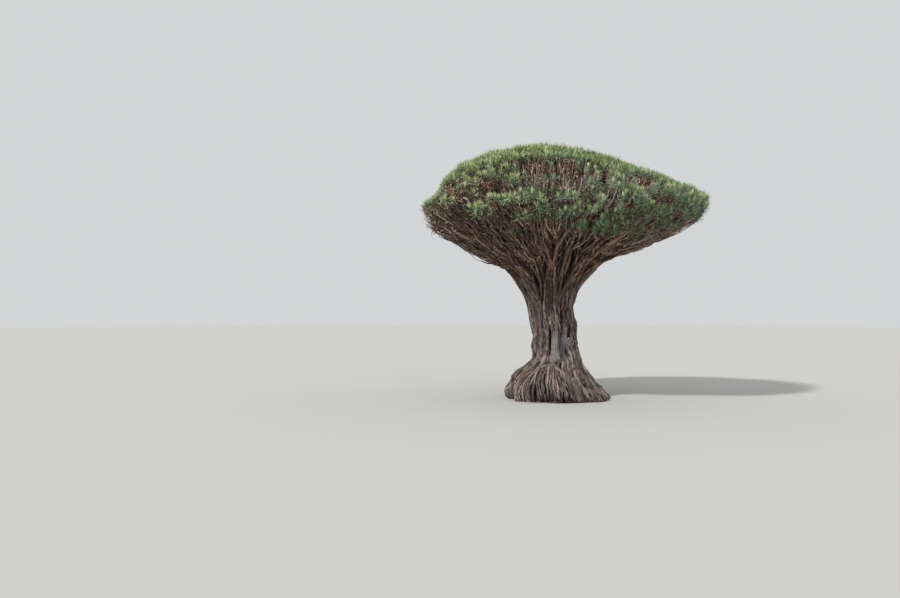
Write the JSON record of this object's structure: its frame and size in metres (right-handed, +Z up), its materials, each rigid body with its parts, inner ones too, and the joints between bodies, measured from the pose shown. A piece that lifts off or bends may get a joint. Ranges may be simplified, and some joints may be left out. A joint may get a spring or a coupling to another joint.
{
  "type": "dragon blood tree",
  "caption": "Very old dragon tree: a massive fluted trunk on a flared foot, a ring of forking boughs and a wide domed crown of stiff leaf rosettes.",
  "frame": {"origin": "centre of the flat cut under the trunk, at ground level", "axes": "+Z up, -Y towards the side that the picture shows, +X to the right in the picture"},
  "size_m": [19.0949, 18.2566, 16.7299],
  "materials": {
    "trunk_bark": "rough grey-brown bark of fused root strands, deeply fluted",
    "bough_bark": "matte grey-brown bark with cracks and leaf scars",
    "foliage": "stiff sword-shaped leaves, slightly waxy, blue-green to yellow-green"
  },
  "bodies": {
    "root": {"trunk": "trunk_bark", "bough_left": "bough_bark", "bough_left_front": "bough_bark", "bough_front": "bough_bark", "bough_front_right": "bough_bark", "bough_right": "bough_bark", "bough_right_back": "bough_bark", "bough_back": "bough_bark", "bough_back_left": "bough_bark", "bough_inner_1": "bough_bark", "bough_inner_2": "bough_bark", "bough_inner_3": "bough_bark", "bough_inner_4": "bough_bark", "bough_inner_5": "bough_bark", "bough_inner_6": "bough_bark", "limb_left_a": "bough_bark", "limb_left_b": "bough_bark", "limb_left_front_a": "bough_bark", "limb_left_front_b": "bough_bark", "limb_front_a": "bough_bark", "limb_front_b": "bough_bark", "limb_front_right_a": "bough_bark", "limb_front_right_b": "bough_bark", "limb_right_a": "bough_bark", "limb_right_b": "bough_bark", "limb_right_back_a": "bough_bark", "limb_right_back_b": "bough_bark", "limb_back_a": "bough_bark", "limb_back_b": "bough_bark", "limb_back_left_a": "bough_bark", "limb_back_left_b": "bough_bark", "foliage_top": "foliage", "foliage_inner_1": "foliage", "foliage_inner_2": "foliage", "foliage_inner_3": "foliage", "foliage_inner_4": "foliage", "foliage_inner_5": "foliage", "foliage_inner_6": "foliage", "foliage_outer_01": "foliage", "foliage_outer_02": "foliage", "foliage_outer_03": "foliage", "foliage_outer_04": "foliage", "foliage_outer_05": "foliage", "foliage_outer_06": "foliage", "foliage_outer_07": "foliage", "foliage_outer_08": "foliage", "foliage_outer_09": "foliage", "foliage_outer_10": "foliage", "foliage_outer_11": "foliage", "foliage_outer_12": "foliage", "foliage_low_right": "foliage", "foliage_low_right_back": "foliage", "foliage_low_back": "foliage", "foliage_low_back_left": "foliage", "foliage_low_left": "foliage", "foliage_low_left_front": "foliage", "foliage_low_front": "foliage", "foliage_low_front_right": "foliage"}
  },
  "joints": []
}
